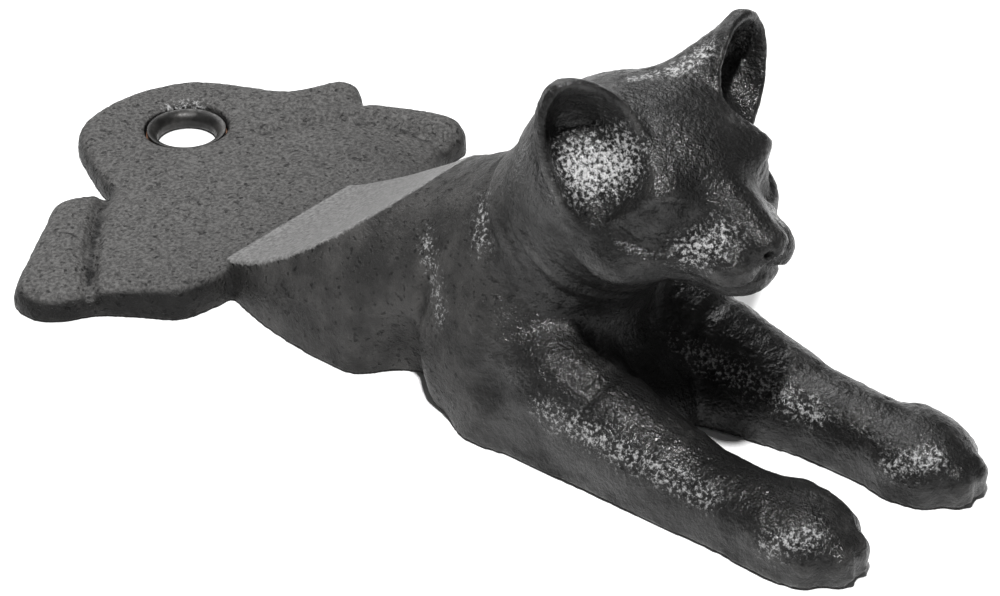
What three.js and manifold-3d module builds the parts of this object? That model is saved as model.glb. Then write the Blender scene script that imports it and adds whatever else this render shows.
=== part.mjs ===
// Cat-shaped shutter dog holdback, in millimetres, +Z up.
//
// A cast-iron cat lies on its belly. Its front half is fully round, its hindquarters are a thin
// plate that ends in a tail loop with the pivot hole, and a scooped ramp joins the two. The
// casting turns on a flared steel bush that sits in the hole, over a fibre friction washer. A
// screw through the bush holds the dog to a sill or a wall, and the bush's flange keeps the
// casting just clear of it.
//
// X runs forward to the paws, Y to the cat's left, and Z up from the sill. Y = 0 is the cat's
// own centre plane. The last lines move the origin to the middle of the foot of the whole box.

import * as THREE from 'three';
import { mergeVertices } from 'three/addons/utils/BufferGeometryUtils.js';
import Module from 'manifold-3d';

const wasm = await Module();
wasm.setup();

// Driving dimensions
const SOLE = 0.4;                  // the casting's flat sole runs this far above the sill
const GAP = 0.3;                   // running clearance round the bush and the washer
const PIVOT = { x: -80.8, y: 15.9 };
const PLATE_TOP = 4.0;             // top of the plate at the tail loop
const PLATE_EDGE = 1.5;            // rounding of the plate's rim
const RAMP = { x: -39.5, z: 7.0, slope: 0.40, curve: 0.0076, crest: -3.0 };
const LEG = { y: 15.0, elbow: 26, wrist: 76, z: 4.8 };
const PAW = { right: { x: 84.8, y: -14.0 }, left: { x: 87.2, y: 15.8 } };
const HEAD = { x: 42, y: -0.5, z: 50, yaw: -8 };
const EAR = { height: 12.4, turn: 18, nod: 18 };

// The flared bush, as radii and heights above the sill
const BUSH = {
  throat: 5.5, wall: 0.8, flare: 2.0, foot: 1.2, land: 0.4, flangeRadius: 9.2,
};
const WASHER = { inner: 6.9, outer: 9.0, thick: 0.6 };

const FINE = 20;                   // facets round a large ball
const COARSE = 12;                 // facets round a small ball
const RINGS = 0.6;                 // rings from pole to pole for each facet round a ball

// Solids

function solid(geometry) {
  const bare = geometry.clone();
  bare.deleteAttribute('normal');
  bare.deleteAttribute('uv');
  const merged = mergeVertices(bare, 1e-4);
  return new wasm.Manifold(new wasm.Mesh({
    numProp: 3,
    vertProperties: merged.attributes.position.array,
    triVerts: new Uint32Array(merged.index.array),
  }));
}

function join(solids) {
  return solids.reduce((sum, next) => sum.add(next));
}

function cutAway(body, solids) {
  return solids.reduce((rest, next) => rest.subtract(next), body);
}

function meshGeometry(manifold) {
  const mesh = manifold.getMesh();
  const geometry = new THREE.BufferGeometry();
  geometry.setAttribute('position', new THREE.BufferAttribute(mesh.vertProperties, 3));
  geometry.setIndex(new THREE.BufferAttribute(mesh.triVerts, 1));
  geometry.computeVertexNormals();
  return geometry;
}

/** An ellipsoid: centre, radii, and turns about Y then Z in degrees. */
function ball(centre, radii, facets = FINE, nod = 0, yaw = 0) {
  const geometry = new THREE.SphereGeometry(1, facets, Math.round(facets * RINGS));
  geometry.rotateX(Math.PI / 2);
  geometry.scale(...radii);
  geometry.rotateY(THREE.MathUtils.degToRad(-nod));
  geometry.rotateZ(THREE.MathUtils.degToRad(yaw));
  geometry.translate(...centre);
  return solid(geometry);
}

/** A round bar from one point to another, with a round end of its own radius at each. */
function limb(from, to, startRadius, endRadius, facets = FINE) {
  const start = new THREE.Vector3(...from);
  const run = new THREE.Vector3(...to).sub(start);
  const length = run.length();
  const steps = Math.round(facets / 5);
  const profile = [];
  for (let i = 0; i <= steps; i++) {
    const angle = (i / steps - 1) * Math.PI / 2;
    profile.push(new THREE.Vector2(startRadius * Math.cos(angle), startRadius * Math.sin(angle)));
  }
  for (let i = 0; i <= steps; i++) {
    const angle = (i / steps) * Math.PI / 2;
    profile.push(new THREE.Vector2(endRadius * Math.cos(angle), length + endRadius * Math.sin(angle)));
  }
  profile[0].x = 0;
  profile[profile.length - 1].x = 0;
  const geometry = new THREE.LatheGeometry(profile, facets);
  const turn = new THREE.Quaternion().setFromUnitVectors(new THREE.Vector3(0, 1, 0), run.normalize());
  geometry.applyQuaternion(turn);
  geometry.translate(...from);
  return solid(geometry);
}

/** A body of revolution about a vertical axis, from a profile of [radius, height]. */
function turned(profile, facets) {
  const points = profile.map(([r, z]) => new THREE.Vector2(r, z));
  const geometry = new THREE.LatheGeometry(points, facets);
  geometry.rotateX(Math.PI / 2);
  return geometry;
}

/** The same for a ring, whose profile closes on itself. */
function turnedRing(profile, facets) {
  return turned([...profile, profile[0]], facets);
}

function arc(centreR, centreZ, radius, fromAngle, toAngle, steps) {
  const points = [];
  for (let i = 0; i <= steps; i++) {
    const angle = fromAngle + (toAngle - fromAngle) * i / steps;
    points.push([centreR + radius * Math.cos(angle), centreZ + radius * Math.sin(angle)]);
  }
  return points;
}

/** A block with its lowest and highest corners given. */
function block(low, high) {
  const size = high.map((v, i) => v - low[i]);
  const geometry = new THREE.BoxGeometry(...size);
  geometry.translate(...low.map((v, i) => v + size[i] / 2));
  return solid(geometry);
}

// The plate: hindquarters, hind feet and the tail loop

const RIM = [
  [-75.2, -10.0], [-86.5, -4.6], [-95.4, 0.8], [-99.4, 11.0], [-97.8, 23.0], [-88.2, 33.6],
  [-76.6, 37.4], [-72.8, 43.6], [-70.2, 48.6], [-66.5, 49.0], [-60.6, 44.6], [-50.0, 49.0],
  [-45.0, 50.8], [-40.4, 49.6], [-37.6, 43.0], [-33.6, 34.2], [-28.0, 22.0], [-27.0, 4.0],
  [-28.0, -10.0], [-36.4, -17.0], [-37.8, -23.0], [-41.0, -29.8], [-51.0, -37.0], [-58.4, -45.4],
  [-64.6, -45.0], [-70.5, -35.6], [-79.9, -20.0], [-77.0, -12.6],
];

function rimShape() {
  const rim = new THREE.SplineCurve([...RIM, RIM[0]].map(([x, y]) => new THREE.Vector2(x, y)));
  return new THREE.Shape(rim.getPoints(RIM.length * 2).slice(0, -1));
}

function plate() {
  const geometry = new THREE.ExtrudeGeometry(rimShape(), {
    depth: PLATE_TOP - 2 * PLATE_EDGE,
    bevelEnabled: true,
    bevelThickness: PLATE_EDGE,
    bevelSize: PLATE_EDGE,
    bevelOffset: -PLATE_EDGE,
    bevelSegments: 2,
    curveSegments: 1,
  });
  geometry.translate(0, 0, PLATE_EDGE);
  return solid(geometry);
}

/** The low swellings on the plate, kept inside its rim: the rump, both thighs, feet and tail. */
function plateRelief() {
  const swellings = join([
    ball([-44, 2, 0], [26, 30, 6.9]),
    ball([-52, -22, 0], [20, 17, 6.4]),
    ball([-46, 29, 0], [20, 13, 6.6]),
    limb([-75, -22, -0.4], [-62, -38, -0.4], 5.8, 5.8, COARSE),
    limb([-68, 37, -0.4], [-44, 45, -0.4], 5.8, 5.8, COARSE),
    limb([-88, 22, -1.6], [-69, 43, -0.6], 6.2, 5.4, COARSE),
  ]);
  const geometry = new THREE.ExtrudeGeometry(rimShape(), { depth: 20, bevelEnabled: false });
  return swellings.intersect(solid(geometry.translate(0, 0, -10)));
}

// The front half: barrel, shoulders, neck and forelegs

function rampTop(x) {
  const along = x - RAMP.x;
  return RAMP.z + RAMP.slope * along + RAMP.curve * along * along;
}

/** Everything above the scooped ramp, behind its crest. */
function rampCutter() {
  const steps = 10;
  const outline = new THREE.Shape();
  outline.moveTo(RAMP.x - 20, rampTop(RAMP.x));
  for (let i = 0; i <= steps; i++) {
    const x = RAMP.x + (RAMP.crest - RAMP.x) * i / steps;
    outline.lineTo(x, rampTop(x));
  }
  outline.lineTo(RAMP.crest, 60);
  outline.lineTo(RAMP.x - 20, 60);
  const geometry = new THREE.ExtrudeGeometry(outline, { depth: 80, bevelEnabled: false });
  geometry.rotateX(Math.PI / 2);
  geometry.translate(0, 40, 0);
  return solid(geometry);
}

function barrel() {
  const trunk = join([
    ball([-10, 0, 3], [44, 22.3, 28], FINE, 4),
    limb([-2, 0, 11], [12, 0, 18.5], 18, 17),
  ]);
  const waist = [-1, 1].map((side) => ball([4.5, side * 26, -2], [8.5, 12, 19], COARSE));
  return cutAway(trunk, [rampCutter(), ...waist]);
}

function shoulders() {
  return [
    ball([9, 0, 19], [17, 17.5, 18]),
    ball([22, 0, 16], [18, 17, 20]),
    ball([36, 1, 4], [15, 12.5, 10.5]),
    limb([20, 0, 27], [35, -0.5, 43], 15.5, 16.8),
  ];
}

/** A paw: a broad back and four toes, of which the middle two are the longest. */
function paw({ x, y }) {
  const toes = [-1.5, -0.5, 0.5, 1.5].map((place) => {
    const reach = x + 8.3 - 2.2 * place ** 2;
    return limb([reach - 8, y + 3.2 * place, 5.6], [reach, y + 3.5 * place, 3.4], 3.8, 3.1, COARSE);
  });
  return [ball([x - 1.5, y, 5], [10.3, 9, 6.8]), ...toes];
}

function foreleg(side) {
  const y = side * LEG.y;
  return [
    ball([19, side * 13.5, 12], [11, 9.8, 16], FINE, -25),
    ball([23, y, 5], [9, 8.8, 9], COARSE),
    limb([34, side * 14, 12.6], [58, y, 6.2], 9.3, 7.6),
    limb([LEG.elbow, y, LEG.z], [LEG.wrist, y, LEG.z], 8.4, 7.6),
    ...paw(side < 0 ? PAW.right : PAW.left),
  ];
}

// The head, in its own frame: forward, to the cat's left, and up

const headTurn = new THREE.Matrix4()
  .makeTranslation(HEAD.x, HEAD.y, HEAD.z)
  .multiply(new THREE.Matrix4().makeRotationZ(THREE.MathUtils.degToRad(HEAD.yaw)));

function onHead(forward, left, up) {
  return new THREE.Vector3(forward, left, up).applyMatrix4(headTurn).toArray();
}

function headBall(centre, radii, facets = COARSE, nod = 0, yaw = 0) {
  return ball(onHead(...centre), radii, facets, nod, HEAD.yaw + yaw);
}

/** A cupped ear that faces forward and a little outward, on a root that runs up its back. */
function ear(side) {
  const yaw = side * EAR.turn;
  const shell = headBall([0.6, side * 16.4, 10.4], [5.2, 8.0, EAR.height], COARSE, EAR.nod, yaw);
  const root = limb(onHead(-2.5, side * 9.5, 7.5), onHead(-1, side * 16, 18.5), 7.4, 3, COARSE);
  const cup = headBall([6.4, side * 18.4, 9.4], [6.2, 6.4, 10.4], COARSE, EAR.nod, yaw);
  return join([shell, root]).subtract(cup);
}

function head() {
  const sides = [-1, 1].flatMap((side) => [
    ear(side),
    headBall([6, side * 11.5, -7], [8, 7.6, 5.8]),
    headBall([11.4, side * 9.4, 3.8], [4.6, 5.4, 4.2]),
    headBall([9.6, side * 9, 0.5], [5.2, 6, 4.6]),
    headBall([20.8, side * 4, -6], [6, 5, 4.5]),
  ]);
  return [
    headBall([-3, 0, -1], [19, 19, 14.8], FINE),
    headBall([2.5, 0, 2], [14.5, 16, 11.2]),
    headBall([8.5, 0.5, -4.5], [12, 15.8, 9]),
    headBall([16.5, 0, -6], [9, 9.2, 7.6]),
    headBall([20.3, 0.6, -9.2], [5.5, 6.4, 4.6]),
    headBall([26.1, 0, -2.4], [3.1, 3.6, 2.7]),
    limb(onHead(12, 0, 3), onHead(23.6, 0, -2.6), 5.8, 3.9, COARSE),
    ...sides,
  ];
}

// The pivot

const bushTop = BUSH.foot + BUSH.land + BUSH.flare;
const flareRadius = BUSH.throat + BUSH.flare;

/** The bush is a spun eyelet: a flange below, a short throat, and a flare above. */
function bushGeometry() {
  const footZ = BUSH.foot;
  const flareZ = BUSH.foot + BUSH.land;
  return turnedRing([
    [BUSH.flangeRadius, 0],
    [BUSH.flangeRadius, BUSH.wall],
    ...arc(BUSH.throat + BUSH.foot, footZ, BUSH.foot - BUSH.wall, -Math.PI / 2, -Math.PI, 2),
    ...arc(flareRadius, flareZ, BUSH.flare - BUSH.wall, Math.PI, Math.PI / 2, 5),
    ...arc(flareRadius, flareZ, BUSH.flare, Math.PI / 2, Math.PI, 6),
    ...arc(BUSH.throat + BUSH.foot, footZ, BUSH.foot, Math.PI, Math.PI * 1.5, 4),
  ], 48);
}

const washerFoot = BUSH.wall + GAP;
const pocketRoof = washerFoot + WASHER.thick + GAP;

function washerGeometry() {
  const top = washerFoot + WASHER.thick;
  return turnedRing([
    [WASHER.outer, washerFoot], [WASHER.outer, top], [WASHER.inner, top], [WASHER.inner, washerFoot],
  ], 40);
}

/** The room that the casting leaves for the bush and the washer. */
function pivotRoom() {
  const seat = BUSH.flare - BUSH.wall - GAP;
  const pocket = BUSH.flangeRadius + GAP;
  const mouth = flareRadius + GAP;
  const flareZ = BUSH.foot + BUSH.land;
  const seatStart = Math.asin((pocketRoof - flareZ) / seat);
  const geometry = turned([
    [0, -1], [pocket, -1], [pocket, pocketRoof],
    ...arc(flareRadius, flareZ, seat, Math.PI - seatStart, Math.PI / 2, 4),
    [mouth, flareZ + seat], [mouth, PLATE_TOP - 0.3], [mouth + 1.4, PLATE_TOP + 4], [0, PLATE_TOP + 4],
  ], 48);
  return solid(geometry.translate(PIVOT.x, PIVOT.y, 0));
}

// The parts

function castingGeometry() {
  const cat = join([
    plate(), plateRelief(), barrel(), ...shoulders(), ...foreleg(-1), ...foreleg(1), ...head(),
  ]);
  const below = block([-120, -70, -40], [120, 70, SOLE]);
  return meshGeometry(cutAway(cat, [below, pivotRoom()]));
}

function part(name, geometry, color, roughness, metalness) {
  const material = new THREE.MeshStandardMaterial({ color, roughness, metalness });
  const mesh = new THREE.Mesh(geometry, material);
  mesh.name = name;
  return mesh;
}

const pivot = new THREE.Group();
pivot.position.set(PIVOT.x, PIVOT.y, 0);
pivot.add(part('pivot_bush', bushGeometry(), 0x2c2b29, 0.5, 0.8));
pivot.add(part('friction_washer', washerGeometry(), 0x6e4a34, 0.8, 0.0));

const dog = new THREE.Group();
dog.add(part('cat_casting', castingGeometry(), 0x2a2a2b, 0.55, 0.3));

const holdback = new THREE.Group();
holdback.add(pivot, dog);

const box = new THREE.Box3().setFromObject(holdback);
const middle = box.getCenter(new THREE.Vector3());
holdback.position.set(-middle.x, -middle.y, 0);

export default holdback;
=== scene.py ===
"""Cat-shaped shutter dog holdback: looks, in metres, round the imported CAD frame.

The cat is sculpted as a field of signed distances in millimetres, in the cat's own frame
(X forward, Y to its left, Y = 0 its centre plane, Z up from the sill), turned into a mesh, and
roughened like a sand casting. The pivot bush is a spun eyelet with a worn lip.
"""
import math

import bpy
import numpy as np
from mathutils import Matrix, Vector


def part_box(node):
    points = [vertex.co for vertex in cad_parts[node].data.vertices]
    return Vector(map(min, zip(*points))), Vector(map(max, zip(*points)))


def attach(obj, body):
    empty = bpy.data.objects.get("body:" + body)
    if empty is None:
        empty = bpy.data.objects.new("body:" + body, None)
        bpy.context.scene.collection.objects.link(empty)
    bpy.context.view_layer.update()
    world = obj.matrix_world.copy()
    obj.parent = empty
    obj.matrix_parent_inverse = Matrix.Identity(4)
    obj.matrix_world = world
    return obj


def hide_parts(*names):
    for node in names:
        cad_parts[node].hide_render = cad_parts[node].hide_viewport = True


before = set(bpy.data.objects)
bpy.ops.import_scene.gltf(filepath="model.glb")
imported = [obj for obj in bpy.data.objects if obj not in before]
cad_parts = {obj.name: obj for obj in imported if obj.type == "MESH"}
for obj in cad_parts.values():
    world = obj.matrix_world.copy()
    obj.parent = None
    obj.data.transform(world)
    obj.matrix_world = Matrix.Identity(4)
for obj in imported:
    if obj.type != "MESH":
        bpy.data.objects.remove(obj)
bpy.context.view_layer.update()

# ---- Driving dimensions, in millimetres in the cat's frame -------------------------------
PIVOT = np.array([-80.8, 15.9, 0.0])       # axis of the bush
SOLE = 0.4                                 # the casting's flat underside
STEP = 0.5                                 # size of a sculpting cell
HEAD_AT = np.array([42.0, -0.5, 50.0])     # origin of the head's own frame
HEAD_YAW = -8.0                            # the head turns a little to the cat's right

bush_low, bush_high = (np.array(corner) * 1000 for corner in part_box("pivot_bush"))
TO_ROW = (bush_low + bush_high) / 2 - PIVOT
TO_ROW[2] = 0.0
casting_low, casting_high = (np.array(corner) * 1000 - TO_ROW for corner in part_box("cat_casting"))


# ---- Sculpting tools ---------------------------------------------------------------------
def turn(yaw=0.0, nod=0.0):
    """Rotation whose columns are a body's forward, left and up axes; nod lifts the front."""
    a, b = np.radians([yaw, nod])
    about_z = np.array([[np.cos(a), -np.sin(a), 0], [np.sin(a), np.cos(a), 0], [0, 0, 1]])
    about_y = np.array([[np.cos(b), 0, -np.sin(b)], [0, 1, 0], [np.sin(b), 0, np.cos(b)]])
    return about_z @ about_y


def melt(a, b, k):
    """Smooth union of two distances over a width of k."""
    if k <= 0:
        return np.minimum(a, b)
    h = np.clip(0.5 + 0.5 * (b - a) / k, 0, 1)
    return b + (a - b) * h - k * h * (1 - h)


def carve(a, b, k):
    """Smooth intersection of two distances over a width of k."""
    return -melt(-a, -b, k)


class Sculpt:
    """Signed distances on a grid of cells; negative is iron."""

    MARGIN = 3.0     # how far past a shape its distances are still worked out
    EMPTY = 30.0     # the distance before anything is added

    def __init__(self, low, high, step):
        self.low = np.array(low, float)
        self.step = step
        self.shape = tuple(int(np.ceil((h - l) / step)) + 1 for l, h in zip(low, high))
        self.d = np.full(self.shape, self.EMPTY, np.float32)

    def window(self, low, high):
        """The part of the grid between two corners, with its coordinates."""
        part, coords = [], []
        for axis in range(3):
            first = int(np.floor((low[axis] - self.low[axis]) / self.step))
            last = int(np.ceil((high[axis] - self.low[axis]) / self.step)) + 1
            first, last = max(first, 0), max(min(last, self.shape[axis]), 0)
            part.append(slice(first, last))
            line = (self.low[axis] + self.step * np.arange(first, last)).astype(np.float32)
            coords.append(line.reshape([-1 if i == axis else 1 for i in range(3)]))
        return tuple(part), coords

    def add(self, part, distance, k=0.0):
        self.d[part] = melt(self.d[part], distance, k)

    def cut(self, part, distance, k=0.0):
        self.d[part] = carve(self.d[part], -distance, k)

    def ball(self, centre, radii, k=0.0, axes=None, remove=False, drop=False):
        """An ellipsoid; drop carries its widest section straight down to the sole."""
        axes = np.eye(3) if axes is None else axes
        centre, radii = np.array(centre, float), np.array(radii, float)
        reach = np.sqrt((axes ** 2) @ (radii ** 2)) + k + self.MARGIN
        low, high = centre - reach, centre + reach
        if drop:
            low[2] = self.low[2]
        part, (x, y, z) = self.window(low, high)
        x, y, z = x - centre[0], y - centre[1], z - centre[2]
        if drop:
            z = np.maximum(z, 0)
        u, v, w = (x * axes[0, i] + y * axes[1, i] + z * axes[2, i] for i in range(3))
        near = np.sqrt((u / radii[0]) ** 2 + (v / radii[1]) ** 2 + (w / radii[2]) ** 2)
        far = np.sqrt((u / radii[0] ** 2) ** 2 + (v / radii[1] ** 2) ** 2 + (w / radii[2] ** 2) ** 2)
        distance = near * (near - 1) / np.maximum(far, 1e-6)
        (self.cut if remove else self.add)(part, distance, k)

    def limb(self, start, end, r_start, r_end, k=0.0, drop=False):
        """A tapered bar with round ends; drop carries its sides straight down to the sole."""
        start, end = np.array(start, float), np.array(end, float)
        reach = max(r_start, r_end) + k + self.MARGIN
        low, high = np.minimum(start, end) - reach, np.maximum(start, end) + reach
        if drop:
            low[2] = self.low[2]
        part, (x, y, z) = self.window(low, high)
        run = end - start
        x, y, z = x - start[0], y - start[1], z - start[2]
        if drop:
            along = np.clip((x * run[0] + y * run[1]) / (run[0] ** 2 + run[1] ** 2), 0, 1)
        else:
            along = np.clip((x * run[0] + y * run[1] + z * run[2]) / (run @ run), 0, 1)
        u, v, w = (p - along * r for p, r in zip((x, y, z), run))
        if drop:
            w = np.maximum(w, 0)
        distance = np.sqrt(u * u + v * v + w * w) - (r_start + (r_end - r_start) * along)
        self.add(part, distance, k)

    def groove(self, points, radius, depth):
        """A soft furrow of the given half-width that follows points lying on the skin."""
        path = np.array(points, float)
        pad = radius + self.MARGIN
        part, (x, y, z) = self.window(path.min(0) - pad, path.max(0) + pad)
        nearest = np.full(self.d[part].shape, 1e3, np.float32)
        for a, b in zip(path[:-1], path[1:]):
            run = b - a
            u, v, w = x - a[0], y - a[1], z - a[2]
            t = np.clip((u * run[0] + v * run[1] + w * run[2]) / (run @ run), 0, 1)
            gap = (u - t * run[0]) ** 2 + (v - t * run[1]) ** 2 + (w - t * run[2]) ** 2
            nearest = np.minimum(nearest, gap)
        fall = np.clip(1 - np.sqrt(nearest) / radius, 0, 1)
        self.d[part] += depth * fall * fall * (3 - 2 * fall)


def smooth_curve(points, closed=False, steps=5):
    """Points along a curve that passes through the given ones."""
    p = np.array(points, float)
    n = len(p)
    if closed:
        before, after, beyond = np.roll(p, 1, 0), np.roll(p, -1, 0), np.roll(p, -2, 0)
        here = p
    else:
        padded = np.vstack([2 * p[0] - p[1], p, 2 * p[-1] - p[-2]])
        before, here, after, beyond = (padded[i:i + n - 1] for i in range(4))
    out = []
    for t in np.arange(steps) / steps:
        out.append(here + 0.5 * t * ((after - before)
                   + t * ((2 * before - 5 * here + 4 * after - beyond)
                          + t * (3 * (here - after) + beyond - before))))
    curve = np.stack(out, 1).reshape(-1, p.shape[1])
    return curve if closed else np.vstack([curve, p[-1]])


def plane_distance(x, y, path):
    """Distance in the XY plane from a path of points."""
    best = np.full(np.broadcast(x, y).shape, 1e6, np.float32)
    for (ax, ay), (bx, by) in zip(path[:-1], path[1:]):
        ex, ey = bx - ax, by - ay
        t = np.clip(((x - ax) * ex + (y - ay) * ey) / (ex * ex + ey * ey + 1e-9), 0, 1)
        best = np.minimum(best, (x - ax - t * ex) ** 2 + (y - ay - t * ey) ** 2)
    return np.sqrt(best)


def outline_distance(x, y, outline):
    """The same from a closed outline, negative inside it."""
    inside = np.zeros(np.broadcast(x, y).shape, bool)
    for (ax, ay), (bx, by) in zip(outline, np.roll(outline, -1, 0)):
        if ay != by:
            inside ^= ((ay > y) != (by > y)) & (x < (bx - ax) * (y - ay) / (by - ay) + ax)
    distance = plane_distance(x, y, np.vstack([outline, outline[:1]]))
    return np.where(inside, -distance, distance)


def swell(distance, radius):
    """1 on a path, falling smoothly to 0 at the radius."""
    t = np.clip(1 - distance / radius, 0, 1)
    return t * t * (3 - 2 * t)


# ---- The plate: hindquarters, hind feet and tail loop --------------------------------------
# The outline, from the waist round the tail loop, the left hind foot and the right one.
RIM = [
    (-75.2, -10.0), (-80.7, -7.4), (-86.5, -4.4), (-93.2, -0.5), (-97.6, 4.5), (-99.1, 10.6),
    (-99.0, 17.0), (-97.2, 23.4), (-93.4, 29.2), (-88.0, 33.4), (-82.2, 35.8), (-76.8, 37.4),
    (-74.3, 39.8), (-72.9, 43.6), (-70.5, 48.0), (-66.8, 48.6), (-63.6, 46.4), (-60.6, 44.6),
    (-56.0, 46.0), (-50.0, 48.6), (-45.0, 50.2), (-40.6, 49.4), (-37.8, 46.2), (-37.6, 42.0),
    (-36.4, 38.0), (-33.6, 34.2), (-31.0, 29.5), (-28.0, 22.0), (-27.0, 10.0), (-28.0, -10.0),
    (-33.0, -15.2), (-37.0, -17.5), (-37.6, -22.0), (-39.6, -28.6), (-46.0, -33.0),
    (-51.5, -37.2), (-55.0, -42.4), (-59.0, -45.1), (-64.5, -44.5), (-67.8, -40.6),
    (-70.5, -35.6), (-74.0, -29.8), (-77.5, -24.0), (-79.9, -20.0), (-79.3, -16.2),
    (-77.0, -12.6),
]
PLATE_TOP, PLATE_RISE, PLATE_EDGE = 4.0, 2.6, 3.2


def bowed(start, end, bow):
    """A crease from start to end that bows to its left by so many millimetres."""
    start, end = np.array(start, float), np.array(end, float)
    t = np.linspace(0, 1, 9)[:, None]
    along = (end - start) / np.linalg.norm(end - start)
    return start + t * (end - start) + 4 * bow * t * (1 - t) * np.array([-along[1], along[0]])


TAIL_GROOVE = bowed((-77, 26), (-60, 45), -2)
FOOT_GROOVE = bowed((-67, 23), (-37, 41), 6.5)
HIND_GROOVE = bowed((-74, -12), (-52, -38), -1)
TAIL_RIDGE = bowed((-88, 26), (-68, 43), -3.5)
HIND_RIDGE = [(-74.5, -19.0), (-69.5, -27.5), (-62.0, -39.0)]
FOOT_RIDGE = [(-62.0, 35.0), (-56.5, 41.0), (-50.0, 44.5), (-43.5, 46.6)]


def plate_top(x, y):
    """Height of the plate's upper face: a gentle rise to the rump, with limbs in low relief."""
    rim_fall = 1 - 0.75 * np.clip((np.abs(y) - 28) / 14, 0, 1)
    top = PLATE_TOP + PLATE_RISE * np.clip((x + 84) / 38, 0, 1) * rim_fall
    top = top + 0.9 * swell(plane_distance(x, y, TAIL_RIDGE), 8)
    top = top + 1.4 * swell(plane_distance(x, y, FOOT_RIDGE), 6)
    top = top + 1.0 * swell(np.hypot((x + 46) / 15, (y - 29) / 9), 1)
    top = top + 0.9 * swell(plane_distance(x, y, HIND_RIDGE), 8)
    top = top - 0.5 * swell(plane_distance(x, y, TAIL_GROOVE), 3.4)
    top = top - 0.9 * swell(plane_distance(x, y, FOOT_GROOVE), 2.8)
    top = top - 1.3 * swell(plane_distance(x, y, HIND_GROOVE), 2.4)
    return top


def add_plate(cat):
    part, (x, y, z) = cat.window((-103, -50, -3), (-22, 56, 16))
    flat_x, flat_y = x[:, :, 0], y[:, :, 0]
    side = outline_distance(flat_x, flat_y, smooth_curve(RIM, closed=True))[:, :, None]
    top = plate_top(flat_x, flat_y)[:, :, None]
    cat.add(part, carve(side, z - top, PLATE_EDGE), 1.6)


# ---- The trunk -----------------------------------------------------------------------------
RAMP_FOOT = (-39.5, 7.0)
RAMP_SLOPE, RAMP_CURVE, RAMP_END = 0.40, 0.0076, 8.0


def ramp_height(x):
    along = np.maximum(x - RAMP_FOOT[0], 0)
    return RAMP_FOOT[1] + RAMP_SLOPE * (x - RAMP_FOOT[0]) + RAMP_CURVE * along ** 2


def add_trunk(cat):
    cat.ball((-10, 0, 3), (44, 22.3, 28), axes=turn(nod=4))
    cat.limb((-2, 0, 11), (12, 0, 18.5), 18, 17, k=6)
    cat.ball((9, 0, 19), (16, 17, 17), k=5)
    cat.ball((22, 0, 16), (17, 16.5, 19), k=6)
    cat.ball((36, 1, 4), (14, 12, 10), k=5)
    cat.limb((45, 8, 3), (62, 12, 3), 5.4, 4.6, k=2, drop=True)
    for side in (-1, 1):
        cat.ball((4.5, side * 26, -2), (8.5, 12.0, 19), k=4, remove=True)
    cat.limb((20, 0, 27), (35, -0.5, 43), 15.5, 16.5, k=6)


def cut_ramp(cat):
    part, (x, y, z) = cat.window((-62, -32, 0), (32, 32, 80))
    slope = RAMP_SLOPE + 2 * RAMP_CURVE * np.maximum(x - RAMP_FOOT[0], 0)
    above = (z - ramp_height(x)) / np.sqrt(1 + slope ** 2)
    above = np.where(x < RAMP_END, above, -30) + 0 * y
    cat.cut(part, -above, 0.6)


# ---- Forelegs ------------------------------------------------------------------------------
PAW = {-1: (84.8, -14.0), 1: (87.2, 15.8)}     # by side: -1 is the cat's right
LEG_MIDDLE = 15.0


def add_foreleg(cat, side):
    cat.ball((19, side * 13.5, 12), (11, 9.8, 16), k=4, axes=turn(nod=-25))
    cat.ball((23, side * 15.2, 5), (9, 8.8, 9), k=2.5, drop=True)
    cat.limb((34, side * 14.0, 12.6), (58, side * 15.2, 6.2), 9.3, 7.4, k=4)
    middle = side * LEG_MIDDLE
    cat.limb((26, middle, 5.6), (76, middle, 4.5), 8.3, 7.3, k=3, drop=True)
    add_paw(cat, *PAW[side])


def add_paw(cat, x, y):
    """A broad back, then four toes, the middle two longest, each with a short claw."""
    cat.ball((x - 1.5, y, 5.0), (10.2, 8.9, 6.4), k=3, drop=True)
    for place in (-1.5, -0.5, 0.5, 1.5):
        reach = x + 8.2 - 2.2 * place ** 2
        toe = y + 3.5 * place
        cat.limb((reach - 8, y + 3.2 * place, 6.2), (reach, toe, 4.2), 3.6, 2.8, k=1.4)
        cat.limb((reach, toe, 4.0), (reach, toe, 1.5), 2.7, 2.5, k=1.2)
        cat.limb((reach + 1.8, toe, 3.2), (reach + 2.6, toe, 1.9), 0.9, 0.6, k=0.6)


# ---- Head, in its own frame: forward, left, up ---------------------------------------------
HEAD_AXES = turn(HEAD_YAW)


def on_head(forward, left, up):
    return HEAD_AT + HEAD_AXES @ np.array([forward, left, up], float)


def add_skull(cat):
    cat.ball(on_head(-3, 0, -1.2), (19, 19, 14.4), k=5, axes=HEAD_AXES)
    cat.ball(on_head(2.5, 0, 2.0), (14.5, 16, 11.2), k=4, axes=HEAD_AXES)
    cat.ball(on_head(8.5, 0.5, -4.5), (12, 15.8, 9), k=3, axes=HEAD_AXES)
    for side in (-1, 1):
        cat.ball(on_head(6, side * 11.5, -7), (8, 7.6, 5.8), k=3, axes=HEAD_AXES)


def add_muzzle(cat):
    cat.ball(on_head(16.5, 0, -6), (9, 9.2, 7.6), k=3, axes=HEAD_AXES)
    cat.ball(on_head(20.3, 0.6, -9.2), (5.5, 6.4, 4.6), k=1.8, axes=HEAD_AXES)
    cat.limb(on_head(12, 0, 3.0), on_head(23.6, 0, -2.6), 5.8, 3.9, k=2.5)
    for side in (-1, 1):
        cat.ball(on_head(20.8, side * 4.0, -6.0), (6.0, 5.0, 4.5), k=1.2, axes=HEAD_AXES)
    cat.ball(on_head(26.1, 0, -2.4), (3.1, 3.6, 2.7), k=1.0, axes=HEAD_AXES)


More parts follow.
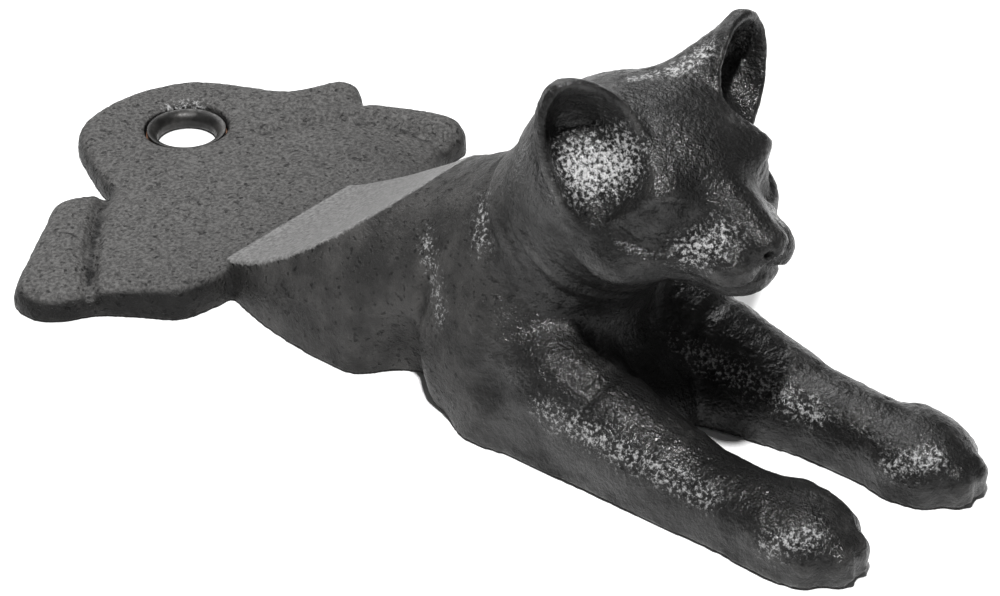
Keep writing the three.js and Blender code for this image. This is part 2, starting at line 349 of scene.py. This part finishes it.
def add_eye(cat, side):
    """A brow, a socket, and an almond eyeball between two lids."""
    cat.ball(on_head(11.4, side * 9.4, 3.8), (4.6, 5.4, 4.2), k=3, axes=HEAD_AXES)
    axes = HEAD_AXES @ turn(yaw=side * 38)
    corner_in, corner_out = on_head(15.4, side * 6.6, -0.4), on_head(9.0, side * 15.6, 1.2)
    middle = (corner_in + corner_out) / 2
    out = axes[:, 0]
    cat.ball(middle + 2.9 * out, (3.4, 6.4, 4.2), k=1.8, axes=axes, remove=True)
    cat.ball(middle - 2.6 * out, (4.8, 6.0, 4.6), k=0.7, axes=axes)
    for bow in (-3.6, 3.6):
        curve = smooth_curve([corner_in, middle + 1.3 * out + [0, 0, bow], corner_out], steps=4)
        for a, b in zip(curve[:-1], curve[1:]):
            cat.limb(a, b, 0.8, 0.8, k=1.0)


# The ears by side: outline, outward lean, outward turn and middle.
EAR_RIM = {
    -1: [(-5.6, -3.0), (-6.6, 2.6), (-6.2, 8.2), (-3.6, 12.4), (0.6, 12.8), (4.6, 10.8),
         (8.2, 7.0), (10.0, 2.0), (9.2, -4.0), (5.0, -9.2), (0.2, -12.6), (-3.4, -9.0)],
    1: [(-4.6, -4.0), (-7.0, 2.0), (-7.4, 7.0), (-5.7, 10.6), (-2.0, 12.2), (2.4, 11.4),
        (6.0, 8.2), (8.4, 4.0), (8.8, -1.0), (6.2, -6.0), (2.6, -8.8), (-0.8, -7.6)],
}
EAR_LEAN = {-1: 0.10, 1: 0.16}
EAR_TURN = {-1: -0.30, 1: 0.06}
EAR_MIDDLE = {-1: (2.0, -17.2, 9.4), 1: (2.6, 18.2, 9.0)}
EAR_WALL, EAR_CUP = 2.4, 8.5


def add_ear(cat, side):
    """A cupped ear that faces forward, drawn on its own leaning plane. The cup is deepest
    under the tip, and its floor climbs to the cheek."""
    normal = np.array([0.90, EAR_TURN[side], 0.32])
    normal /= np.linalg.norm(normal)
    up = np.array([-0.25, EAR_LEAN[side], 0.96])
    up -= normal * (up @ normal)
    up /= np.linalg.norm(up)
    axes = HEAD_AXES @ np.stack([np.cross(up, normal) * -side, up, normal], 1)
    middle = on_head(*EAR_MIDDLE[side])
    part, (x, y, z) = cat.window(middle - 21, middle + 21)
    x, y, z = x - middle[0], y - middle[1], z - middle[2]
    a, b, n = (x * axes[0, i] + y * axes[1, i] + z * axes[2, i] for i in range(3))
    edge = outline_distance(a, b, smooth_curve(EAR_RIM[side], closed=True, steps=3))
    face = 0.6 + 0.24 * a + 0.08 * b
    climb = 0.5 + 0.5 * np.tanh((0.85 * b - 0.35 * a + 3.0) / 6.5)
    taper = np.clip((14.5 - b) / 10, 0.2, 1)
    inward = np.clip((-edge - 0.9) / 5.0, 0, 1)
    dish = face - EAR_CUP * climb * taper * inward * (2 - inward)
    shell = carve(carve(edge, n - face, 1.6), dish - EAR_WALL - 1.2 - n, 1.5)
    cat.limb(on_head(-2.5, side * 9.5, 7.5), middle + axes @ [-1.5, 9.5, -1.0], 7.4, 2.4, k=3)
    cat.add(part, shell, 2.0)
    cat.cut(part, carve(edge + 1.0, dish - n, 1.2), 1.2)


def add_mouth(cat):
    for side in (-1, 1):
        line = [on_head(28.4, 0, -4.4), on_head(26.6, 0, -6.8), on_head(25.2, side * 3.4, -8.6),
                on_head(21.5, side * 8.0, -9.2), on_head(16.5, side * 11, -8)]
        cat.groove(smooth_curve(line), 1.5, 0.9)
        nostril = on_head(28.2, side * 1.7, -2.8)
        cat.ball(nostril, (1.4, 0.7, 0.8), k=0.6, axes=HEAD_AXES, remove=True)


def add_head(cat):
    add_skull(cat)
    add_muzzle(cat)
    for side in (-1, 1):
        add_eye(cat, side)
        add_ear(cat, side)
    add_mouth(cat)


# ---- The pivot hole ------------------------------------------------------------------------
BUSH_THROAT, BUSH_WALL, BUSH_FLARE, BUSH_FOOT, BUSH_LAND = 5.5, 0.8, 2.0, 1.2, 0.4
FLANGE_RADIUS, GAP, POCKET_ROOF = 9.2, 0.3, 2.0


def cut_pivot_room(cat):
    """The room round the bush: a pocket below, a rounded seat, and a mouth above."""
    part, (x, y, z) = cat.window(PIVOT - [14, 14, 5], PIVOT + [14, 14, 12])
    radius = np.hypot(x - PIVOT[0], y - PIVOT[1])
    seat_r = BUSH_THROAT + BUSH_FLARE
    pocket = np.maximum(radius - (FLANGE_RADIUS + GAP), z - POCKET_ROOF)
    bore = radius - (BUSH_THROAT + BUSH_WALL + GAP) + 0 * z
    seat = np.maximum(radius - (seat_r + GAP), 2.5 - z)
    room = np.minimum(np.minimum(pocket, bore), seat)
    funnel = radius - (seat_r + GAP) - 0.9 * np.maximum(z - 3.7, 0)
    funnel = np.maximum(funnel, 3.0 - z)
    cat.cut(part, funnel, 1.2)
    cat.cut(part, room, 0)


# ---- Folds of the coat -----------------------------------------------------------------------
FOLD_WIDTH, FOLD_DEPTH = 2.2, 0.8
NECK_FOOT, NECK_RISE = np.array([20.0, 0, 27]), np.array([15.0, 0, 16])
SHOULDER, LEG_RUN = np.array([34.0, 14, 12.6]), np.array([24.0, 1.2, -6.4])
# Creases round the neck, the foreleg and the back of the shoulder, on the cat's left:
# centre, axis, radius, first and last angle from the left side towards the back.
FOLDS = [
    (NECK_FOOT + 0.25 * NECK_RISE, NECK_RISE, 16.2, 75, 10),
    (NECK_FOOT + 0.5 * NECK_RISE, NECK_RISE, 16.2, 22, -40),
    (NECK_FOOT + 0.72 * NECK_RISE, NECK_RISE, 16.8, 10, -70),
    (SHOULDER + 0.4 * LEG_RUN, LEG_RUN, 8.8, 25, 140),
    (np.array([8.5, 0, 19]), np.array([1.0, 0, 0]), 18.3, 32, -16),
]


def ring(centre, axis, radius, start, end):
    """Points on an arc round an axis, in degrees from the cat's left towards its back."""
    axis = axis / np.linalg.norm(axis)
    back = np.cross(axis, [0, 1, 0])
    back /= np.linalg.norm(back)
    left = np.cross(back, axis)
    angles = np.radians(np.linspace(start, end, 9))[:, None]
    return centre + radius * (np.cos(angles) * left + np.sin(angles) * back)


def add_folds(cat):
    for fold in FOLDS:
        for side in (-1, 1):
            cat.groove(ring(*fold) * [1, side, 1], FOLD_WIDTH, FOLD_DEPTH)


def sculpt_cat(step):
    cat = Sculpt((-102, -50, -1.5), (101, 56, 78), step)
    add_trunk(cat)
    cut_ramp(cat)
    add_plate(cat)
    add_foreleg(cat, -1)
    add_foreleg(cat, 1)
    add_head(cat)
    add_folds(cat)
    cut_pivot_room(cat)
    part, (x, y, z) = cat.window((-103, -51, -3), (102, 57, 6))
    cat.d[part] = np.maximum(cat.d[part], SOLE - z + 0 * x + 0 * y)
    return cat


# ---- From field to mesh --------------------------------------------------------------------
def skin(field):
    """Vertices and quads of the zero surface: one vertex in each crossed cell, one quad round
    each crossed edge of the grid."""
    inside = field.d < 0
    corners = [(i, j, k) for i in (0, 1) for j in (0, 1) for k in (0, 1)]
    nx, ny, nz = (n - 1 for n in field.shape)
    some = np.zeros((nx, ny, nz), bool)
    every = np.ones((nx, ny, nz), bool)
    for i, j, k in corners:
        view = inside[i:nx + i, j:ny + j, k:nz + k]
        some |= view
        every &= view
    cells = np.argwhere(some & ~every)
    number = np.zeros((nx, ny, nz), np.int32)
    number[tuple(cells.T)] = np.arange(len(cells))
    values = {c: field.d[tuple((cells + c).T)] for c in corners}
    total = np.zeros((len(cells), 3))
    crossings = np.zeros(len(cells))
    for start in corners:
        for axis in range(3):
            if start[axis]:
                continue
            end = tuple(1 if i == axis else s for i, s in enumerate(start))
            a, b = values[start], values[end]
            crossed = (a < 0) != (b < 0)
            share = a[crossed] / (a[crossed] - b[crossed])
            total[crossed] += start
            total[crossed, axis] += share
            crossings += crossed
    vertices = field.low + (cells + total / crossings[:, None]) * field.step
    quads = []
    for axis in range(3):
        one, two = (axis + 1) % 3, (axis + 2) % 3
        ahead = [slice(None)] * 3
        behind = [slice(None)] * 3
        ahead[axis], behind[axis] = slice(1, None), slice(None, -1)
        here, there = inside[tuple(behind)], inside[tuple(ahead)]
        edges = np.argwhere(here != there)
        edges = edges[(edges[:, one] > 0) & (edges[:, two] > 0)
                      & (edges[:, one] < field.shape[one] - 1)
                      & (edges[:, two] < field.shape[two] - 1)]
        leaving = here[tuple(edges.T)]
        cells_round = []
        for a, b in ((1, 1), (0, 1), (0, 0), (1, 0)):
            cell = edges.copy()
            cell[:, one] -= a
            cell[:, two] -= b
            cells_round.append(number[tuple(cell.T)])
        cells_round = np.stack(cells_round, 1)
        cells_round[~leaving] = cells_round[~leaving][:, ::-1]
        quads.append(cells_round)
    return vertices, np.vstack(quads)


class Noise:
    """Repeatable smooth noise in space, about -1 to 1."""

    PERIOD = 64

    def __init__(self, seed):
        gradients = np.random.default_rng(seed).normal(size=(self.PERIOD,) * 3 + (3,))
        self.gradients = gradients / np.linalg.norm(gradients, axis=-1, keepdims=True)

    def at(self, points, size):
        scaled = points / size
        cell = np.floor(scaled).astype(int)
        part = scaled - cell
        fade = part ** 3 * (part * (part * 6 - 15) + 10)
        total = np.zeros(len(points))
        for corner in np.ndindex(2, 2, 2):
            i, j, k = ((cell + corner) % self.PERIOD).T
            weight = np.prod(np.where(corner, fade, 1 - fade), axis=1)
            total += weight * np.sum(self.gradients[i, j, k] * (part - corner), axis=1)
        return total * 1.6


def vertex_normals(vertices, quads):
    a, b, c, d = (vertices[quads[:, i]] for i in range(4))
    face = np.cross(c - a, d - b)
    total = np.zeros_like(vertices)
    for i in range(4):
        for axis in range(3):
            total[:, axis] += np.bincount(quads[:, i], face[:, axis], len(vertices))
    return total / np.maximum(np.linalg.norm(total, axis=1, keepdims=True), 1e-12)


def hollowness(vertices, normals, quads, rounds):
    """How deep each vertex lies below its surroundings, in millimetres; negative on ridges."""
    edges = np.vstack([quads[:, [0, 1]], quads[:, [1, 2]], quads[:, [2, 3]], quads[:, [3, 0]]])
    count = np.bincount(edges.ravel(), minlength=len(vertices))[:, None]
    around = vertices
    for _ in range(rounds):
        total = np.empty_like(around)
        for axis in range(3):
            total[:, axis] = (np.bincount(edges[:, 0], around[edges[:, 1], axis], len(vertices))
                              + np.bincount(edges[:, 1], around[edges[:, 0], axis], len(vertices)))
        around = 0.5 * around + 0.5 * total / count
    return np.sum((around - vertices) * normals, axis=1)


def make_mesh(name, vertices, faces, **masks):
    """A smooth mesh object from row-frame millimetres, with its masks as point attributes."""
    mesh = bpy.data.meshes.new(name)
    mesh.from_pydata((vertices / 1000).tolist(), [], [list(map(int, f)) for f in faces])
    for mask, values in masks.items():
        layer = mesh.attributes.new(mask, "FLOAT", "POINT")
        layer.data.foreach_set("value", values.astype(np.float32))
    mesh.shade_smooth()
    thing = bpy.data.objects.new(name, mesh)
    bpy.context.scene.collection.objects.link(thing)
    return thing


# ---- Cast surface ------------------------------------------------------------------------
CAST_NOISE = ((3, 9.0), (5, 2.1), (7, 1.1), (11, 1.7))     # seed and size of each noise
SWELL, PEBBLE, FINE, PIT = 0.10, 0.08, 0.10, 0.12          # height of each, or depth
PIT_LEVEL, PIT_SLOPE = 0.42, 0.3
SMOOTH_RADIUS = 10.5                                       # no roughness round the bush
HOLLOW_ROUNDS = 14
INSET = 0.02                                               # kept inside the casting's box


def ramp_mask(vertices, normals):
    """1 on the smooth face of the ramp, 0 on the sand-cast skin; the material paints this face
    lighter as a painted sheen.
    """
    x = vertices[:, 0]
    off = np.abs(vertices[:, 2] - ramp_height(x))
    on_ramp = (off < 0.6) & (x < RAMP_END) & (x > RAMP_FOOT[0]) & (normals[:, 0] < -0.25)
    return on_ramp.astype(float)


LIP_RADIUS, LIP_HEIGHT = 8.2, 3.5


def lip(degrees):
    """A point on the rounded mouth of the pivot hole."""
    angle = math.radians(degrees)
    around = LIP_RADIUS * np.array([math.cos(angle), math.sin(angle), 0])
    return PIVOT + around + [0, 0, LIP_HEIGHT]


def rubbed_places():
    """Where hands and boots have worn the wax off, and where highlights are painted on as glints:
    start, end, reach, amount.
    """
    yield on_head(-1, -15, 5), on_head(4, -13, 8.5), 9.0, 0.78
    yield on_head(-2.5, 7, 14), on_head(-1, 13, 16), 4.0, 0.65
    yield on_head(-3, -13, 20.5), on_head(-5, -10, 19), 3.0, 0.6
    yield on_head(-6, 1, 13.5), on_head(-4, 5, 14), 3.0, 0.6
    for side in (-1, 1):
        yield on_head(18.5, side * 9, -4), on_head(22, side * 6.5, -0.5), 6.0, 0.62
        across, (x, y) = side * LEG_MIDDLE, PAW[side]
        yield np.array([38, across - 8, 12.5]), np.array([70, across - 6.5, 9.5]), 5.0, 0.56
        yield np.array([x - 1, y - 8.5, 6.5]), np.array([x + 4.5, y - 4.5, 9.2]), 4.8, 0.57
    yield NECK_FOOT + [-5, -11, 13], NECK_FOOT + [-2, -15.5, 6], 4.5, 0.5
    yield np.array([6, -15, 29]), np.array([14, -20, 19]), 3.6, 0.5
    yield lip(155), lip(120), 3.0, 0.6


def rubbed_mask(vertices):
    """How far the wax is worn off and a glint painted at each vertex: 0 where it is whole, 1 where
    it is gone.
    """
    mask = np.zeros(len(vertices))
    for start, end, reach, amount in rubbed_places():
        along = end - start
        share = np.clip((vertices - start) @ along / (along @ along), 0, 1)
        distance = np.linalg.norm(vertices - start - share[:, None] * along, axis=1)
        mask = np.maximum(mask, amount * np.clip(1.2 - distance / reach, 0, 1))
    return mask


def roughen(vertices, normals, smooth):
    """Sand-cast skin: long swells, a pebbled grain, and scattered pits."""
    swells, pebble, fine, pit = (Noise(seed).at(vertices, size) for seed, size in CAST_NOISE)
    rough = 1 - 0.85 * smooth
    height = SWELL * swells
    pitting = PIT * np.clip(pit - PIT_LEVEL, 0, 1) / PIT_SLOPE
    height = height + rough * (PEBBLE * pebble + FINE * fine - pitting)
    above_sole = vertices[:, 2] > SOLE + 0.3
    from_pivot = np.hypot(vertices[:, 0] - PIVOT[0], vertices[:, 1] - PIVOT[1])
    height = np.where(above_sole & (from_pivot >= SMOOTH_RADIUS), height, 0)
    return vertices + normals * height[:, None]


def build_cat():
    vertices, quads = skin(sculpt_cat(STEP))
    normals = vertex_normals(vertices, quads)
    smooth = ramp_mask(vertices, normals)
    vertices = roughen(vertices, normals, smooth)
    vertices = np.clip(vertices, casting_low + INSET, casting_high - INSET)
    hollow = hollowness(vertices, normals, quads, HOLLOW_ROUNDS)
    cat = make_mesh("cat", vertices + TO_ROW, quads, ground=smooth, hollow=hollow,
                    rubbed=rubbed_mask(vertices), level=normals[:, 2])
    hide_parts("cat_casting")
    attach(cat, "dog")
    return cat


# ---- The bush: a spun steel eyelet -------------------------------------------------------
def arc(centre, radius, start, end, steps):
    """Points (radius, height) on an arc, angles in degrees."""
    angles = np.radians(np.linspace(start, end, steps + 1))
    return [(centre[0] + radius * math.cos(a), centre[1] + radius * math.sin(a)) for a in angles]


FLANGE_CHAMFER = 0.15
BUSH_TURNS = 160
BUSH_WOBBLE = 0.004


def build_bush():
    seat = (BUSH_THROAT + BUSH_FLARE, BUSH_FOOT + BUSH_LAND)
    foot = (BUSH_THROAT + BUSH_FOOT, BUSH_FOOT)
    inner = FLANGE_RADIUS - FLANGE_CHAMFER
    profile = [(inner, 0.0), (FLANGE_RADIUS, FLANGE_CHAMFER),
               (FLANGE_RADIUS, BUSH_WALL - FLANGE_CHAMFER), (inner, BUSH_WALL)]
    profile += arc(foot, BUSH_FOOT - BUSH_WALL, -90, -180, 6)
    profile += arc(seat, BUSH_FLARE - BUSH_WALL, 180, 96, 12)
    profile += arc(seat, BUSH_FLARE - 0.02, 92, 180, 20)
    profile += arc(foot, BUSH_FOOT, 180, 270, 12)
    angles = 2 * math.pi * np.arange(BUSH_TURNS) / BUSH_TURNS
    wobble = 1 + BUSH_WOBBLE * np.sin(3 * angles + 0.7)
    vertices = [(r * w * math.cos(a), r * w * math.sin(a), z)
                for a, w in zip(angles, np.minimum(wobble, 1)) for r, z in profile]
    n = len(profile)
    faces = []
    for i in range(BUSH_TURNS):
        here, there = i * n, (i + 1) % BUSH_TURNS * n
        for j in range(n):
            onward = (j + 1) % n
            faces.append((here + j, here + onward, there + onward, there + j))
    bush = make_mesh("bush", np.array(vertices) + PIVOT + TO_ROW, faces)
    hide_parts("pivot_bush")
    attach(bush, "pivot")
    return bush


# ---- Materials -----------------------------------------------------------------------------
class Nodes:
    """A small helper that builds a material's node tree."""

    def __init__(self, name):
        self.material = bpy.data.materials.new(name)
        self.material.use_nodes = True
        self.tree = self.material.node_tree
        self.shader = self.tree.nodes["Principled BSDF"]

    def node(self, kind, inputs=None, **settings):
        node = self.tree.nodes.new(kind)
        for key, value in settings.items():
            setattr(node, key, value)
        for key, value in (inputs or {}).items():
            self.feed(value, node.inputs[key])
        return node

    def feed(self, value, socket):
        if isinstance(value, bpy.types.NodeSocket):
            self.tree.links.new(value, socket)
        else:
            socket.default_value = value

    def math(self, operation, a, b):
        return self.node("ShaderNodeMath", {0: a, 1: b}, operation=operation).outputs[0]

    def span(self, value, low, high, to_low=0.0, to_high=1.0):
        return self.node("ShaderNodeMapRange", {
            "Value": value, "From Min": low, "From Max": high, "To Min": to_low, "To Max": to_high,
        }, interpolation_type="SMOOTHSTEP").outputs["Result"]

    def mix(self, factor, a, b):
        return self.node("ShaderNodeMix", {0: factor, 6: a, 7: b}, data_type="RGBA").outputs[2]

    def noise(self, where, scale, detail=3.0, roughness=0.5):
        return self.node("ShaderNodeTexNoise", {
            "Vector": where, "Scale": scale, "Detail": detail, "Roughness": roughness,
        }).outputs["Fac"]

    def bump(self, height, strength, distance):
        return self.node("ShaderNodeBump", {
            "Height": height, "Strength": strength, "Distance": distance,
        }).outputs[0]

    def attribute(self, name):
        return self.node("ShaderNodeAttribute", attribute_name=name).outputs["Fac"]


def grey(value, warmth=0.0):
    return (value * (1 + warmth), value, value * (1 - warmth), 1.0)


# Greys of the iron, from cavities darkened as painted shade to metal worn clean with painted glints;
# the rim and front greys are painted shade too.
CAVITY_SHADE, WAX_AND_FRONT_SHADE, RIM_SHADE = grey(0.003), grey(0.003, 0.02), grey(0.006, 0.02)
DARK_IRON, PALE_IRON = grey(0.02, 0.02), grey(0.05, 0.03)
# The sand greys are painted light on the plate's top.
LIT_SAND_DARK, LIT_SAND_PALE = grey(0.04, 0.02), grey(0.108, 0.02)
# The ramp greys are a painted sheen.
RAMP_SHEEN_DARK, RAMP_SHEEN_PALE = grey(0.085, 0.01), grey(0.19, 0.01)
# Edge wear is the iron's own; the bright metal is partly wear, partly painted glint.
EDGE_WEAR, RUBBED_METAL_AND_GLINT = grey(0.06, 0.03), grey(0.38, 0.0)
GRAIN_HEIGHT = 0.0004      # metres


def cast_iron():
    """Black waxed iron: dull and sandy on the plate, near black and wet-looking in front. Painted
    shade darkens the cavities, the plate's rim and the front, painted light lightens the plate's top
    and the ramp, and painted glints brighten worn spots.
    """
    n = Nodes("black waxed cast iron")
    where = n.node("ShaderNodeTexCoord").outputs["Object"]
    ground, hollow, rubbed = (n.attribute(name) for name in ("ground", "hollow", "rubbed"))

    # Where on the cat, in metres: the low plate behind, its level top, and the front.
    place = n.node("ShaderNodeSeparateXYZ", {0: where}).outputs
    low = n.span(place[2], 0.005, 0.012, 1.0, 0.0)
    rear = n.span(place[0], -0.045, -0.02, 1.0, 0.0)
    plate_side = n.math("MULTIPLY", low, rear)
    plate = n.math("MULTIPLY", plate_side, n.span(n.attribute("level"), 0.5, 0.9))
    front = n.span(place[0], 0.012, 0.034)

    # Textures, from small pits to broad blotches.
    pits = n.span(n.noise(where, 900, 1.5), 0.6, 0.72)
    sand = n.noise(where, 1500, 3.0, 0.6)
    grain = n.noise(where, 2200, 3.0, 0.6)
    blotch = n.noise(where, 110, 5.0, 0.65)

    # Colour, each layer over the one before.
    base = n.mix(n.span(blotch, 0.35, 0.7), DARK_IRON, PALE_IRON)
    # Near-black front: partly the black wax, partly painted shade.
    base = n.mix(n.math("MULTIPLY", front, 0.9), base, WAX_AND_FRONT_SHADE)
    # Painted shade: the plate's sides, low at the back, darkened.
    base = n.mix(n.math("MULTIPLY", plate_side, 0.8), base, RIM_SHADE)
    # Sandy plate top: the grain is the casting's, its lightness on upward faces is painted light.
    base = n.mix(plate, base, n.mix(n.span(sand, 0.34, 0.68), LIT_SAND_DARK, LIT_SAND_PALE))
    worn = n.math("MULTIPLY", n.span(hollow, -0.02, -0.12), n.span(blotch, 0.45, 0.65))
    base = n.mix(n.math("MULTIPLY", worn, 0.3), base, EDGE_WEAR)
    # Painted shade: hollows and small pits darkened towards black.
    base = n.mix(n.span(hollow, 0.05, 0.3), base, CAVITY_SHADE)
    base = n.mix(n.math("MULTIPLY", pits, 0.7), base, CAVITY_SHADE)
    # Painted sheen: the smooth ramp face lightened, standing in for its reflection of the bright
    # surroundings.
    base = n.mix(ground, base, n.mix(n.span(sand, 0.3, 0.7), RAMP_SHEEN_DARK, RAMP_SHEEN_PALE))
    # Bright metal specks on the worn spots: partly wear, partly painted highlight.
    glint_speck = n.math("ADD", n.math("MULTIPLY", rubbed, 0.32), n.noise(where, 1500, 3.0, 0.7))
    glint_speck = n.math("MULTIPLY", n.span(glint_speck, 0.64, 0.84), n.span(rubbed, 0.05, 0.75))
    base = n.mix(glint_speck, base, RUBBED_METAL_AND_GLINT)
    n.feed(base, n.shader.inputs["Base Color"])

    # Gloss: rougher on the plate, with a film of wax in front.
    rough = n.math("ADD", n.math("MULTIPLY", grain, 0.3), 0.3)
    rough = n.math("ADD", rough, n.math("MULTIPLY", plate, 0.15))
    n.feed(rough, n.shader.inputs["Roughness"])
    n.shader.inputs["Specular IOR Level"].default_value = 0.12
    patchy = n.span(blotch, 0.3, 0.6, 0.35, 1.0)
    wax = n.math("MULTIPLY", n.span(front, 0.0, 1.0, 0.06, 0.6), patchy)
    n.feed(wax, n.shader.inputs["Coat Weight"])
    n.shader.inputs["Coat Roughness"].default_value = 0.13

    # Relief of the iron, and of the film over it.
    relief = n.math("ADD", n.math("MULTIPLY", grain, 0.7), n.math("MULTIPLY", pits, -0.9))
    relief = n.math("ADD", relief, n.math("MULTIPLY", sand, 1.5))
    relief = n.math("MULTIPLY", relief, n.span(ground, 0.0, 1.0, 1.0, 0.35))
    n.feed(n.bump(relief, 0.8, GRAIN_HEIGHT), n.shader.inputs["Normal"])
    film = n.math("ADD", sand, n.math("MULTIPLY", n.noise(where, 900, 1.0), 0.7))
    n.feed(n.bump(film, 0.75, GRAIN_HEIGHT), n.shader.inputs["Coat Normal"])
    return n.material


def worn_steel():
    """Nearly black steel, tarnished in patches and finely scratched."""
    n = Nodes("dark worn steel")
    where = n.node("ShaderNodeTexCoord").outputs["Object"]
    scratches = n.noise(where, 900, 4.0, 0.7)
    tarnish = n.noise(where, 260, 4.0, 0.6)
    tone = n.mix(n.span(tarnish, 0.4, 0.65), grey(0.01, 0.04), grey(0.035, 0.05))
    n.feed(tone, n.shader.inputs["Base Color"])
    n.shader.inputs["Metallic"].default_value = 0.4
    n.feed(n.span(scratches, 0.3, 0.7, 0.32, 0.6), n.shader.inputs["Roughness"])
    n.feed(n.bump(scratches, 0.3, 0.0002), n.shader.inputs["Normal"])
    return n.material


FIBRE_DARK, FIBRE_PALE = (0.10, 0.042, 0.022, 1), (0.20, 0.095, 0.05, 1)


def fibre():
    """Red-brown vulcanised fibre, flecked and matt."""
    n = Nodes("vulcanised fibre")
    where = n.node("ShaderNodeTexCoord").outputs["Object"]
    flecks = n.noise(where, 1500, 3.0, 0.6)
    tone = n.mix(n.span(flecks, 0.35, 0.7), FIBRE_DARK, FIBRE_PALE)
    n.feed(tone, n.shader.inputs["Base Color"])
    n.feed(n.span(flecks, 0.3, 0.7, 0.6, 0.85), n.shader.inputs["Roughness"])
    n.feed(n.bump(flecks, 0.25, 0.0001), n.shader.inputs["Normal"])
    return n.material


def paint(thing, material):
    thing.data.materials.clear()
    thing.data.materials.append(material)


# ---- Studio, in metres ---------------------------------------------------------------------
FLOOR_HALF = 3.0
SKY = 0.12
CAMERA_ROUND, CAMERA_UP = math.radians(40), math.radians(33)
CAMERA_AWAY = 0.625
CAMERA_TARGET = Vector((np.array([19.17, -11.42, 20.83]) + TO_ROW) / 1000)


def add_floor():
    n = Nodes("pale paper")
    where = n.node("ShaderNodeTexCoord").outputs["Object"]
    fibres = n.noise(where, 400, 2.0)
    n.feed(n.mix(fibres, grey(0.86), grey(0.9)), n.shader.inputs["Base Color"])
    n.shader.inputs["Roughness"].default_value = 0.9
    n.shader.inputs["Specular IOR Level"].default_value = 0.1
    corners = [(x * FLOOR_HALF, y * FLOOR_HALF, 0) for x, y in ((-1, -1), (1, -1), (1, 1), (-1, 1))]
    mesh = bpy.data.meshes.new("floor")
    mesh.from_pydata(corners, [], [(0, 1, 2, 3)])
    floor = bpy.data.objects.new("floor", mesh)
    bpy.context.scene.collection.objects.link(floor)
    paint(floor, n.material)


def aim(thing, place, target):
    direction = Vector(target) - Vector(place)
    facing = direction.to_track_quat("-Z", "Y").to_matrix().to_4x4()
    thing.matrix_world = Matrix.Translation(place) @ facing


def add_light(name, place, target, size, watts):
    light = bpy.data.lights.new(name, "AREA")
    light.shape, light.size, light.energy = "DISK", size, watts
    lamp = bpy.data.objects.new(name, light)
    bpy.context.scene.collection.objects.link(lamp)
    aim(lamp, place, target)


def add_studio():
    world = bpy.data.worlds.new("studio")
    world.use_nodes = True
    sky = world.node_tree.nodes["Background"]
    sky.inputs["Color"].default_value = (1, 1, 1, 1)
    sky.inputs["Strength"].default_value = SKY
    bpy.context.scene.world = world
    add_light("softbox", (-1.2, 0.7, 1.3), (0, 0, 0), 1.3, 28)
    add_light("small lamp", (0.27, -0.33, 1.0), (0, 0, 0.02), 0.06, 17)


def add_camera():
    """A long lens, 33 degrees above the sill and 40 degrees round from the cat's right side."""
    level = math.cos(CAMERA_UP)
    back = Vector((math.sin(CAMERA_ROUND) * level, -math.cos(CAMERA_ROUND) * level,
                   math.sin(CAMERA_UP)))
    data = bpy.data.cameras.new("camera")
    data.sensor_width, data.lens = 36, 135
    camera = bpy.data.objects.new("camera", data)
    bpy.context.scene.collection.objects.link(camera)
    aim(camera, CAMERA_TARGET + back * CAMERA_AWAY, CAMERA_TARGET)
    bpy.context.scene.camera = camera


paint(build_cat(), cast_iron())
paint(build_bush(), worn_steel())
paint(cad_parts["friction_washer"], fibre())
add_floor()
add_studio()
add_camera()
bpy.context.scene.view_settings.view_transform = "Standard"
